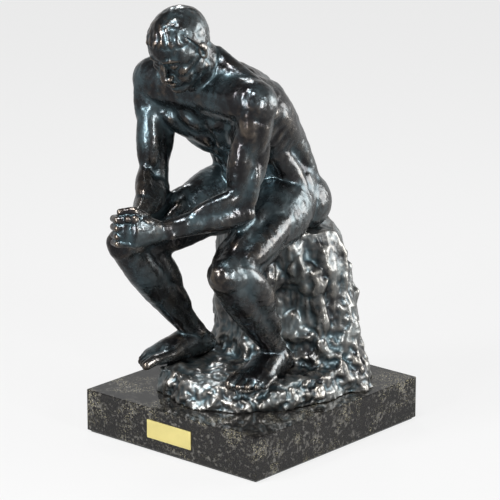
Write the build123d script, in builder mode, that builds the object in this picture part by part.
"""A seated figure in bronze, deep in thought, on a rock of the same bronze and a polished stone base.

The bronze is hollow and cast in sections. Each section meets the next on a flat ring, where a sleeve
fits inside both and is pinned. Bolts hold the figure to the rock, and studs hold the rock to the stone.
The frame is in millimetres with +Z up. The origin lies under the middle of the base, on the surface that
the base stands on. The figure faces -Y, where the name plate is, so its left hand side is +X.
"""

import os
from math import cos, radians, sin, sqrt, tau

from build123d import *

# Stone base and its felt
base_width = 230.0
base_depth = 253.0
base_thickness = 44.0
base_chamfer = 0.8
felt_thickness = 2.0
felt_inset = 3.0

# Name plate on the front of the base
plate_width = 59.0
plate_height = 19.0
plate_thickness = 1.2
plate_corner = 0.8
plate_chamfer = 0.3
adhesive_thickness = 0.3
adhesive_inset = 1.5

# Rock: a low ledge under the feet, and a boulder to sit on
ledge_height = 26.0
ledge_half_width = 94.0
ledge_half_depth = 104.0
ledge_back = 4.0
ledge_draw_in = 8.0
seat_height = 166.0
boulder_half_width = 92.0
boulder_half_depth = 60.0
boulder_back = 52.0
rock_corners = 26
rock_ripple = 0.03
ridge_count = 11
ridge_ripple = 0.045
rock_wall = 6.0

# Boulder sections: share of the seat height, shares of the half width and half depth, shift back
boulder_sections = (
    (0.00, 1.10, 1.06, 2.0),
    (0.15, 1.03, 1.00, 2.0),
    (0.30, 0.93, 0.90, 2.0),
    (0.46, 0.89, 0.89, 1.0),
    (0.62, 0.82, 0.85, -1.0),
    (0.78, 0.81, 0.92, -6.0),
    (0.90, 0.75, 0.96, -9.0),
    (1.00, 0.67, 0.85, -13.0),
)

# Bones of the figure, joint to joint
hip_rise = 31.0
hip_half_gap = 31.0
hip_back = 16.0
thigh_length = 141.0
shin_length = 140.0
ankle_height = 25.0
left_ankle_out = 48.0
left_ankle_forward = 20.0
left_toes_out = 10.0
right_ankle_out = 54.0
right_ankle_forward = 30.0
right_toes_out = 14.0
knee_out = 0.25
upper_arm_length = 108.0
shoulder_half_gap = 66.0
shoulder_behind_elbow = 10.0
forearm_length = 84.0
wrist_half_gap = 16.0
wrist_drop = 12.0
neck_rise = 26.0
neck_forward = 7.0
neck_lean = 40.0
neck_length = 24.0
head_height = 77.0
head_bow = 32.0
back_bow_out = 12.0
back_bow_rise = 62.0

# Limb sections: share of the bone's length, half width, half depth
thigh_sections = ((0.18, 36.0, 36.0), (0.45, 33.0, 33.0), (0.66, 28.0, 27.0), (1.00, 22.0, 21.5))
shin_sections = (
    (0.00, 20.0, 20.5),
    (0.28, 22.0, 23.5),
    (0.60, 17.0, 18.0),
    (0.88, 12.0, 13.0),
    (1.00, 12.5, 14.0),
)
upper_arm_sections = ((0.00, 21.0, 23.0), (0.40, 20.0, 22.0), (0.68, 17.0, 19.0), (1.00, 14.5, 15.0))
forearm_sections = (
    (0.00, 14.5, 15.0),
    (0.24, 17.5, 16.5),
    (0.58, 14.0, 12.5),
    (0.86, 11.0, 8.5),
    (1.00, 11.0, 8.0),
)
knee_radius = 23.5
elbow_radius = 16.5
shoulder_radius = 25.0
arm_rest_gap = 0.5

# Trunk sections: share of the way up the back, half width, half depth
trunk_sections = (
    (0.06, 60.0, 46.0),
    (0.30, 55.0, 40.0),
    (0.52, 53.0, 38.5),
    (0.76, 61.0, 41.5),
    (0.96, 52.0, 35.0),
)
pelvis_half_width = 56.0
pelvis_half_depth = 45.0
shoulder_slope_half_height = 27.0
shoulder_slope_half_depth = 25.0

# Round muscles of the trunk, sunk in it: share of the way up the back, aside, ahead, radius
chest_muscle = (0.80, 26.0, 14.0, 30.0)
shoulder_blade = (0.80, 38.0, -9.0, 30.0)

# Round muscles of the seat, behind and under the hips
seat_muscle_radius = 32.0
seat_muscle_behind = 22.0
seat_muscle_drop = 5.0

# Head sections: share of the head's height over its middle, half width, half depth, shift to the face
head_sections = (
    (-0.48, 9.0, 8.5, 20.0),
    (-0.40, 16.0, 16.5, 14.5),
    (-0.26, 21.5, 24.5, 8.5),
    (-0.08, 25.0, 30.5, 3.0),
    (0.10, 26.5, 33.0, 0.0),
    (0.28, 26.0, 32.5, -2.0),
    (0.41, 19.5, 25.0, -3.0),
    (0.49, 7.5, 10.5, -4.0),
)
neck_half_width = 24.0
neck_half_depth = 25.0
neck_taper = 3.0
ear_radius = 6.0
ear_spread = 24.0
nose_length = 20.0
nose_half_width = 6.0
nose_reach = 36.0
nose_slope = 6.0

# Foot sections: distance ahead of the ankle, half width, half height, height of the middle over the sole
foot_sections = (
    (-20.0, 8.5, 9.5, 10.5),
    (-11.5, 13.5, 15.0, 12.5),
    (2.0, 14.5, 20.0, 15.5),
    (21.0, 15.5, 16.0, 12.5),
    (39.0, 18.0, 11.0, 8.5),
    (53.0, 17.5, 8.0, 5.5),
)
toe_count = 5
toe_radius = 4.3
toe_root = 43.0
toe_reach = 64.0
toe_step_back = 2.8

# Hands
palm_length = 32.0
palm_half_width = 16.5
palm_half_depth = 10.0
finger_count = 4
finger_radius = 4.2
finger_pitch = 8.0
finger_reach = 14.0
finger_fold = 16.0
thumb_radius = 5.0

# Casting walls, and the sleeves and pins of the joints
bronze_wall = 5.0
shoulder_cut_in = 10.0
sleeve_length = 22.0
sleeve_wall = 3.0
sleeve_fit = 0.1
sleeve_end_gap = 2.0
neck_bore = 14.0
shoulder_bore = 13.0
hip_bore = 20.0
wrist_bore = 4.5
pin_radius = 1.5
pin_fit = 0.05
pin_cover = 2.0
pin_floor = 1.0
pin_offset = 6.0

# Bolts from the rock into the figure
bolt_radius = 3.0
bolt_bite = 7.0
bolt_fit = 0.05
bolt_clearance = 0.4
bolt_head_radius = 5.0
bolt_head_height = 4.0
seat_floor = 16.0
seat_bolt_half_gap = 26.0
foot_bolt_ahead = 8.0

# Bars and studs from the rock into the stone
bar_width = 22.0
bar_thickness = 8.0
bar_lift = 3.0
stud_half_gap = 46.0
front_bar_ahead = 52.0
rear_bar_behind = 72.0
stud_radius = 4.0
stud_fit = 0.05
stud_end = 2.0
stud_hole_radius = 5.0
pocket_radius = 13.0
pocket_depth = 15.0
washer_radius = 11.0
washer_thickness = 1.6
nut_across_flats = 13.0
nut_height = 6.5

# Levels and directions worked out from these
stone_top = felt_thickness + base_thickness
sole_level = stone_top + ledge_height
seat_level = stone_top + seat_height
hip_level = seat_level + hip_rise
pocket_level = felt_thickness + pocket_depth
up = Vector(0, 0, 1)
across = Vector(1, 0, 0)
sides = {"left": 1, "right": -1}
STANDING = (Align.CENTER, Align.CENTER, Align.MIN)
HANGING = (Align.CENTER, Align.CENTER, Align.MAX)


def square_to(direction, axis):
    """The part of a direction that is square to an axis."""
    axis = axis.normalized()
    return (direction - axis * direction.dot(axis)).normalized()


def between(start, end, share):
    """The point that share of the way from start to end."""
    return start + (end - start) * share


def bent_joint(start, end, first_length, second_length, towards):
    """Where a knee bends: at the two lengths from its ends, on the side that towards points to."""
    span = end - start
    along = (first_length**2 - second_length**2 + span.length**2) / (2 * span.length)
    rise = sqrt(first_length**2 - along**2)
    return start + span.normalized() * along + square_to(towards, span) * rise


def oval(centre, axis, side, half_width, half_depth):
    """An oval section, square to axis, with its width along side."""
    with BuildSketch(Plane(origin=centre, x_dir=square_to(side, axis), z_dir=axis)) as section:
        Ellipse(half_width, half_depth)
    return section.sketch


def bone_ovals(start, end, side, sections, grow=0.0):
    """The oval sections along one bone, with every half width and half depth changed by grow."""
    return [oval(between(start, end, at), end - start, side, w + grow, d + grow) for at, w, d in sections]


def rod(start, end, radius):
    """A round rod with domed ends, as for a finger or a toe."""
    with BuildPart(Plane(origin=start, z_dir=end - start)) as shape:
        Cylinder(radius, (end - start).length, align=STANDING)
    with BuildPart() as domed:
        add(shape.part)
        with Locations(start, end):
            Sphere(radius)
    return domed.part


# Skeleton, worked up from the rock: hips and ankles, knees, elbows on the thighs, shoulders, neck and head
ankle_places = {
    "left": (left_ankle_out, left_ankle_forward, left_toes_out),
    "right": (-right_ankle_out, right_ankle_forward, -right_toes_out),
}
elbow_share, _, thigh_half_depth = thigh_sections[2]
hips, knees, ankles, elbows, shoulders, wrists, foot_ways = {}, {}, {}, {}, {}, {}, {}
for side, sign in sides.items():
    ankle_x, ankle_forward, toes_out = ankle_places[side]
    hip = Vector(sign * hip_half_gap, hip_back, hip_level)
    ankle = Vector(ankle_x, -ankle_forward, sole_level + ankle_height)
    knee = bent_joint(hip, ankle, thigh_length, shin_length, Vector(sign * knee_out, -1, 0))
    arm_rest = thigh_half_depth + elbow_radius + arm_rest_gap
    elbow = between(hip, knee, elbow_share) + square_to(up, knee - hip) * arm_rest
    out = sign * shoulder_half_gap - elbow.X
    rise = sqrt(upper_arm_length**2 - out**2 - shoulder_behind_elbow**2)
    inwards = sign * wrist_half_gap - elbow.X
    ahead = sqrt(forearm_length**2 - inwards**2 - wrist_drop**2)
    hips[side], knees[side], ankles[side], elbows[side] = hip, knee, ankle, elbow
    shoulders[side] = elbow + Vector(out, shoulder_behind_elbow, rise)
    wrists[side] = elbow + Vector(inwards, -ahead, -wrist_drop)
    foot_ways[side] = Vector(sin(radians(toes_out)), -cos(radians(toes_out)), 0)

shoulder_middle = between(shoulders["left"], shoulders["right"], 0.5)
neck_axis = Vector(0, -sin(radians(neck_lean)), cos(radians(neck_lean)))
neck_base = shoulder_middle + Vector(0, -neck_forward, neck_rise)
skull_base = neck_base + neck_axis * neck_length
head_up = Vector(0, -sin(radians(head_bow)), cos(radians(head_bow)))
face_way = Vector(0, -cos(radians(head_bow)), -sin(radians(head_bow)))
head_middle = skull_base + head_up * (0.16 * head_height) + face_way * (0.1 * head_height)
pelvis = Vector(0, hip_back + 6, hip_level)
back_bow = Vector(0, hip_back + back_bow_out, hip_level + back_bow_rise)
trunk_top = shoulder_middle + Vector(0, 6, 2)

# Joint rings between castings: middle, way across the joint, way out to the pins, bore, outer radius
ring_radius = sqrt(shoulder_radius**2 - shoulder_cut_in**2)
rings = {"neck": (neck_base, neck_axis, across, neck_bore, neck_half_width)}
for side, sign in sides.items():
    thigh = knees[side] - hips[side]
    hip_ring = hips[side] + thigh * thigh_sections[0][0]
    shoulder_ring = shoulders[side] - across * (sign * shoulder_cut_in)
    rings[f"{side}_hip"] = (hip_ring, thigh, across * sign, hip_bore, thigh_sections[0][1])
    rings[f"{side}_shoulder"] = (shoulder_ring, across * sign, up, shoulder_bore, ring_radius)
    forearm = wrists[side] - elbows[side]
    rings[f"{side}_wrist"] = (wrists[side], forearm, up, wrist_bore, forearm_sections[-1][1])


def ring_plane(name):
    """The plane of a joint ring, with Z across the joint and X out to the pins."""
    middle, axis, pin_way, _, _ = rings[name]
    return Plane(origin=middle, x_dir=square_to(pin_way, axis), z_dir=axis)


def pin_place(name, way):
    """Where a joint's pin lies, beyond the ring (way 1) or before it (way -1), and the pin's length."""
    _, _, _, bore, outside = rings[name]
    inner = bore - sleeve_wall + pin_floor
    length = outside - pin_cover - inner
    place = ring_plane(name).location * Location((inner + length / 2, 0, way * pin_offset), (0, 90, 0))
    return place, length


def spine(share):
    """A point of the curve from the pelvis to the shoulders, which bows backwards, and the way along it."""
    lower, upper = back_bow - pelvis, trunk_top - back_bow
    point = pelvis + lower * (2 * share * (1 - share) + share**2) + upper * share**2
    return point, (lower * (1 - share) + upper * share).normalized()


def trunk_ovals(grow):
    """The trunk's sections, with every half width and half depth changed by grow."""
    return [oval(*spine(at), across, w + grow, d + grow) for at, w, d in trunk_sections]


def crag(level, half_width, half_depth, back, turn_on):
    """A rough outline of the rock at one level, with flat stretches between its corners."""
    points = []
    for corner in range(rock_corners):
        turn = tau * corner / rock_corners
        ripple = rock_ripple * (sin(3 * turn + 0.6) + cos(5 * turn))
        reach = 1 + ripple + ridge_ripple * sin(ridge_count * turn + turn_on)
        points.append((half_width * reach * cos(turn), back + half_depth * reach * sin(turn)))
    with BuildSketch(Plane.XY.offset(level)) as outline:
        Polygon(*points, align=None)
    return outline.sketch


def ledge_outlines(wall):
    """The ledge's outlines from the stone up to the soles, each drawn in by wall."""
    bottom, top = stone_top - wall, sole_level - wall
    half_width, half_depth = ledge_half_width - wall, ledge_half_depth - wall
    return [
        crag(bottom, half_width, half_depth, ledge_back, 0),
        crag(top, half_width - ledge_draw_in, half_depth - ledge_draw_in, ledge_back, 1),
    ]


def boulder_outlines(wall):
    """The boulder's outlines from the stone up to the seat, each drawn in by wall."""
    outlines = []
    for share, wide, deep, back in boulder_sections:
        level = stone_top + share * seat_height - wall
        half_width = boulder_half_width * wide - wall
        half_depth = boulder_half_depth * deep - wall
        outlines.append(crag(level, half_width, half_depth, boulder_back + back, 5 * share))
    return outlines


# Stone base, with stud holes that open out below for the washers and nuts
stud_places = [
    Vector(x, y, 0) for y in (-front_bar_ahead, rear_bar_behind) for x in (-stud_half_gap, stud_half_gap)
]
with BuildPart(Plane.XY.offset(felt_thickness)) as stone_base:
    Box(base_width, base_depth, base_thickness, align=STANDING)
    chamfer(stone_base.edges(), base_chamfer)
    with Locations(*stud_places):
        Cylinder(stud_hole_radius, base_thickness, align=STANDING, mode=Mode.SUBTRACT)
        Cylinder(pocket_radius, pocket_depth, align=STANDING, mode=Mode.SUBTRACT)

with BuildPart() as base_felt:
    Box(base_width - 2 * felt_inset, base_depth - 2 * felt_inset, felt_thickness, align=STANDING)

# Name plate, left plain, on its adhesive sheet
front_middle = (0, -base_depth / 2, felt_thickness + base_thickness / 2)
front_face = Plane(origin=front_middle, x_dir=(1, 0, 0), z_dir=(0, -1, 0))
with BuildPart() as plate_adhesive:
    with BuildSketch(front_face):
        Rectangle(plate_width - 2 * adhesive_inset, plate_height - 2 * adhesive_inset)
    extrude(amount=adhesive_thickness)

with BuildPart() as name_plate:
    with BuildSketch(front_face.offset(adhesive_thickness)):
        RectangleRounded(plate_width, plate_height, plate_corner)
    extrude(amount=plate_thickness)
    chamfer(name_plate.faces().sort_by(Axis.Y)[0].edges(), plate_chamfer)

# Rock: the full block that the figure is fitted to, its hollow, and the casting that is open below
with BuildPart() as rock_block:
    loft(ledge_outlines(0), ruled=True)
    loft(boulder_outlines(0), ruled=True)

with BuildPart() as rock_hollow:
    loft(ledge_outlines(rock_wall), ruled=True)
    loft(boulder_outlines(rock_wall), ruled=True)

seat_bolt_places = [Vector(sign * seat_bolt_half_gap, hip_back, seat_level) for sign in sides.values()]
foot_bolt_places = [
    ankles[side] - up * ankle_height + foot_ways[side] * foot_bolt_ahead for side in sides
]
with BuildPart() as rock_casting:
    add(rock_block.part)
    add(rock_hollow.part, mode=Mode.SUBTRACT)
    with Locations(*seat_bolt_places, *foot_bolt_places):
        Cylinder(bolt_radius + bolt_clearance, 2 * rock_wall, mode=Mode.SUBTRACT)


def bolt_group(places):
    """Bolts with their heads under the rock's wall, which bite upwards into the figure."""
    with BuildPart() as bolts:
        with Locations(*[place - up * rock_wall for place in places]):
            Cylinder(bolt_radius, rock_wall + bolt_bite, align=STANDING)
            Cylinder(bolt_head_radius, bolt_head_height, align=HANGING)
    return bolts.part


def thigh_block(side):
    """The full thigh from its hip ring to the knee."""
    with BuildPart() as thigh:
        loft(bone_ovals(hips[side], knees[side], across, thigh_sections))
    return thigh.part


with BuildPart() as neck_block:
    neck_taper_ovals = [
        oval(point, neck_axis, across, neck_half_width - neck_taper, neck_half_depth - neck_taper)
        for point in (skull_base, head_middle)
    ]
    loft([oval(neck_base, neck_axis, across, neck_half_width, neck_half_depth), *neck_taper_ovals])

# Torso: the trunk with the roots of the thighs and shoulders, first whole and then hollowed
seat_middle = Vector(0, hip_back + 2, seat_level)
with BuildPart() as torso_block:
    loft(
        [
            oval(seat_middle, up, across, pelvis_half_width, pelvis_half_depth),
            *trunk_ovals(0),
            oval(neck_base, neck_axis, across, neck_half_width, neck_half_depth),
        ]
    )
    shoulder_slope = oval(trunk_top, across, up, shoulder_slope_half_height, shoulder_slope_half_depth)
    right_ring, left_ring = (
        oval(rings[f"{side}_shoulder"][0], across, up, ring_radius, ring_radius) for side in ("right", "left")
    )
    loft([right_ring, shoulder_slope, left_ring], ruled=True)
    for side, sign in sides.items():
        for share, aside, ahead, radius in (chest_muscle, shoulder_blade):
            point, axis = spine(share)
            with Locations(point + across * (sign * aside) + across.cross(axis) * ahead):
                Sphere(radius)
        with Locations(hips[side] + Vector(0, seat_muscle_behind, -seat_muscle_drop)):
            Sphere(seat_muscle_radius)
        _, half_width, half_depth = thigh_sections[0]
        thigh_root = ((-0.04, half_width - bronze_wall, half_depth - bronze_wall), thigh_sections[0])
        loft(bone_ovals(hips[side], knees[side], across, thigh_root), ruled=True)
        add(thigh_block(side), mode=Mode.SUBTRACT)
    add(neck_block.part, mode=Mode.SUBTRACT)
    add(rock_block.part, mode=Mode.SUBTRACT)

with BuildPart() as torso_casting:
    add(torso_block.part)
    floor_oval = oval(
        seat_middle + up * seat_floor,
        up,
        across,
        pelvis_half_width - bronze_wall,
        pelvis_half_depth - bronze_wall,
    )
    loft([floor_oval, *trunk_ovals(-bronze_wall)], mode=Mode.SUBTRACT)
    for name, (_, _, _, bore, _) in rings.items():
        if not name.endswith("wrist"):
            with Locations(ring_plane(name)):
                Cylinder(bore, 2 * sleeve_length, align=HANGING, mode=Mode.SUBTRACT)
            place, length = pin_place(name, -1)
            with Locations(place):
                Cylinder(pin_radius + pin_fit, length, mode=Mode.SUBTRACT)
    with Locations(*seat_bolt_places):
        Cylinder(bolt_radius + bolt_fit, bolt_bite, align=STANDING, mode=Mode.SUBTRACT)


# Head and neck
def head_ovals(sections, grow):
    """Sections of the head, with every half width and half depth changed by grow."""
    ovals = []
    for at, half_width, half_depth, shift in sections:
        middle = head_middle + head_up * (at * head_height) + face_way * shift
        ovals.append(oval(middle, head_up, across, half_width + grow, half_depth + grow))
    return ovals


with BuildPart() as head_casting:
    loft(head_ovals(head_sections, 0))
    add(neck_block.part)
    add(rod(head_middle - across * ear_spread, head_middle + across * ear_spread, ear_radius))
    nose_tip = head_middle + face_way * (nose_reach - nose_half_width) - head_up * (nose_length / 2)
    nose_root = nose_tip - face_way * nose_slope + head_up * nose_length
    loft(
        [
            oval(nose_tip, head_up, across, nose_half_width, nose_half_width),
            oval(nose_root, head_up, across, nose_half_width / 2, nose_half_width / 2),
        ],
        ruled=True,
    )
    loft(head_ovals(head_sections[2:7], -bronze_wall), mode=Mode.SUBTRACT)
    with Locations(ring_plane("neck")):
        Cylinder(neck_bore, 2 * sleeve_length, align=STANDING, mode=Mode.SUBTRACT)
    place, length = pin_place("neck", 1)
    with Locations(place):
        Cylinder(pin_radius + pin_fit, length, mode=Mode.SUBTRACT)


def arm(side):
    """One arm from its shoulder ring to its wrist ring, hollow down to the elbow."""
    shoulder, elbow, wrist = shoulders[side], elbows[side], wrists[side]
    sleeve_end = sleeve_length / 2 + sleeve_end_gap
    core = ((0.0, shoulder_bore, shoulder_bore), *(
        (at, w - bronze_wall, d - bronze_wall) for at, w, d in upper_arm_sections[1:3]
    ))
    with BuildPart() as casting:
        loft(bone_ovals(shoulder, elbow, across, upper_arm_sections))
        loft(bone_ovals(elbow, wrist, up, forearm_sections))
        with Locations(shoulder):
            Sphere(shoulder_radius)
        with Locations(elbow):
            Sphere(elbow_radius)
        add(torso_block.part, mode=Mode.SUBTRACT)
        loft(bone_ovals(shoulder, elbow, across, core), ruled=True, mode=Mode.SUBTRACT)
        with Locations(ring_plane(f"{side}_shoulder")):
            Cylinder(shoulder_bore, sleeve_end, align=STANDING, mode=Mode.SUBTRACT)
        with Locations(ring_plane(f"{side}_wrist")):
            Cylinder(wrist_bore, sleeve_end, align=HANGING, mode=Mode.SUBTRACT)
        for name, way in ((f"{side}_shoulder", 1), (f"{side}_wrist", -1)):
            place, length = pin_place(name, way)
            with Locations(place):
                Cylinder(pin_radius + pin_fit, length, mode=Mode.SUBTRACT)
    return casting.part


def leg(side):
    """One leg from its hip ring to its toes, hollow down to the knee, and fitted to the rock."""
    hip, knee, ankle, ahead = hips[side], knees[side], ankles[side], foot_ways[side]
    sole = ankle - up * ankle_height
    aside = ahead.cross(up)
    foot = [oval(sole + ahead * at + up * rise, ahead, aside, w, h) for at, w, h, rise in foot_sections]
    sleeve_end = sleeve_length / 2 + sleeve_end_gap
    core_start = thigh_sections[0][0] + sleeve_end / thigh_length
    core = ((core_start, hip_bore, hip_bore), *(
        (at, w - bronze_wall, d - bronze_wall) for at, w, d in thigh_sections[1:3]
    ))
    toe_gap = 2 * foot_sections[-1][1] / toe_count
    with BuildPart() as casting:
        add(thigh_block(side))
        loft(bone_ovals(knee, ankle, across, shin_sections))
        loft(foot)
        with Locations(knee):
            Sphere(knee_radius)
        for toe in range(toe_count):
            spread = (toe - (toe_count - 1) / 2) * toe_gap * sides[side]
            root = sole + ahead * toe_root + aside * spread + up * toe_radius
            tip = root + ahead * (toe_reach - toe_root - toe_step_back * (toe_count - 1 - toe))
            add(rod(root, tip, toe_radius))
        add(rock_block.part, mode=Mode.SUBTRACT)
        loft(bone_ovals(hip, knee, across, core), ruled=True, mode=Mode.SUBTRACT)
        with Locations(ring_plane(f"{side}_hip")):
            Cylinder(hip_bore, sleeve_end, align=STANDING, mode=Mode.SUBTRACT)
        place, length = pin_place(f"{side}_hip", 1)
        with Locations(place):
            Cylinder(pin_radius + pin_fit, length, mode=Mode.SUBTRACT)
        with Locations(sole + ahead * foot_bolt_ahead):
            Cylinder(bolt_radius + bolt_fit, bolt_bite, align=STANDING, mode=Mode.SUBTRACT)
    return casting.part


# Hands: two palms that meet in front, each with its fingers folded over the other
with BuildPart() as clasped_hands_casting:
    for side, sign in sides.items():
        wrist = wrists[side]
        reach = (wrist - elbows[side]).normalized()
        knuckles = Vector(0, wrist.Y - palm_length, wrist.Z)
        _, wrist_half_width, wrist_half_depth = forearm_sections[-1]
        loft(
            [
                oval(wrist, reach, up, wrist_half_width, wrist_half_depth),
                oval(between(wrist, knuckles, 0.5), reach, up, palm_half_width, palm_half_depth),
                oval(knuckles, reach, up, palm_half_width, palm_half_depth),
            ]
        )
        for finger in range(finger_count):
            level = up * ((finger - (finger_count - 1) / 2) * finger_pitch + sign * finger_pitch / 4)
            root = knuckles + level
            bend = root + Vector(-sign * finger_reach, -finger_radius, 0)
            tip = bend + Vector(0, finger_fold, 0)
            add(rod(root, bend, finger_radius))
            add(rod(bend, tip, finger_radius))
        thumb_root = between(wrist, knuckles, 0.4) + up * (palm_half_width - thumb_radius)
        thumb_tip = knuckles + up * palm_half_width - across * (sign * thumb_radius)
        add(rod(thumb_root, thumb_tip, thumb_radius))
    for side in sides:
        with Locations(ring_plane(f"{side}_wrist")):
            Cylinder(wrist_bore, sleeve_length / 2 + sleeve_end_gap, align=STANDING, mode=Mode.SUBTRACT)
        place, length = pin_place(f"{side}_wrist", 1)
        with Locations(place):
            Cylinder(pin_radius + pin_fit, length, mode=Mode.SUBTRACT)


def sleeve(name, solid):
    """The sleeve inside a joint, or a solid dowel, drilled for its two pins."""
    bore = rings[name][3]
    with BuildPart(ring_plane(name)) as fitting:
        Cylinder(bore - sleeve_fit, sleeve_length)
        if not solid:
            Cylinder(bore - sleeve_wall, sleeve_length, mode=Mode.SUBTRACT)
    with BuildPart() as drilled:
        add(fitting.part)
        for way in (1, -1):
            place, length = pin_place(name, way)
            with Locations(place):
                Cylinder(pin_radius + pin_fit, length, mode=Mode.SUBTRACT)
    return drilled.part


with BuildPart() as joint_pins:
    for name in rings:
        for way in (1, -1):
            place, length = pin_place(name, way)
            with Locations(place):
                Cylinder(pin_radius, length)

# Bars across the rock's foot, and the studs, washers and nuts that draw it down on the stone
bar_level = stone_top + bar_lift
with BuildPart() as mounting_bars:
    for y in (-front_bar_ahead, rear_bar_behind):
        with Locations((0, y, bar_level)):
            Box(2 * base_width, bar_width, bar_thickness, align=STANDING)
    add(rock_hollow.part, mode=Mode.INTERSECT)
    with Locations(*stud_places):
        Cylinder(stud_radius + stud_fit, 2 * (bar_level + bar_thickness), mode=Mode.SUBTRACT)

stud_bottom = pocket_level - washer_thickness - nut_height - stud_end
with BuildPart(Plane.XY.offset(stud_bottom)) as mounting_studs:
    with Locations(*stud_places):
        Cylinder(stud_radius, bar_level + bar_thickness - stud_bottom, align=STANDING)

with BuildPart() as mounting_washers:
    with BuildSketch(Plane.XY.offset(pocket_level)):
        with Locations(*stud_places):
            Circle(washer_radius)
            Circle(stud_hole_radius, mode=Mode.SUBTRACT)
    extrude(amount=-washer_thickness)

with BuildPart() as mounting_nuts:
    with BuildSketch(Plane.XY.offset(pocket_level - washer_thickness)):
        with Locations(*stud_places):
            RegularPolygon(nut_across_flats / 2, 6, major_radius=False)
            Circle(stud_radius + stud_fit, mode=Mode.SUBTRACT)
    extrude(amount=-nut_height)

pieces = {
    "stone_base": stone_base.part,
    "base_felt": base_felt.part,
    "name_plate": name_plate.part,
    "plate_adhesive": plate_adhesive.part,
    "rock_casting": rock_casting.part,
    "torso_casting": torso_casting.part,
    "head_casting": head_casting.part,
    "clasped_hands_casting": clasped_hands_casting.part,
    "neck_sleeve": sleeve("neck", solid=False),
    "joint_pins": joint_pins.part,
    "seat_bolts": bolt_group(seat_bolt_places),
    "foot_bolts": bolt_group(foot_bolt_places),
    "mounting_bars": mounting_bars.part,
    "mounting_studs": mounting_studs.part,
    "mounting_washers": mounting_washers.part,
    "mounting_nuts": mounting_nuts.part,
}
for side in sides:
    pieces[f"{side}_arm_casting"] = arm(side)
    pieces[f"{side}_leg_casting"] = leg(side)
    pieces[f"{side}_shoulder_sleeve"] = sleeve(f"{side}_shoulder", solid=False)
    pieces[f"{side}_hip_sleeve"] = sleeve(f"{side}_hip", solid=False)
    pieces[f"{side}_wrist_dowel"] = sleeve(f"{side}_wrist", solid=True)

os.makedirs("parts", exist_ok=True)
for name, piece in pieces.items():
    piece.label = name
    export_step(piece, f"parts/{name}.step")
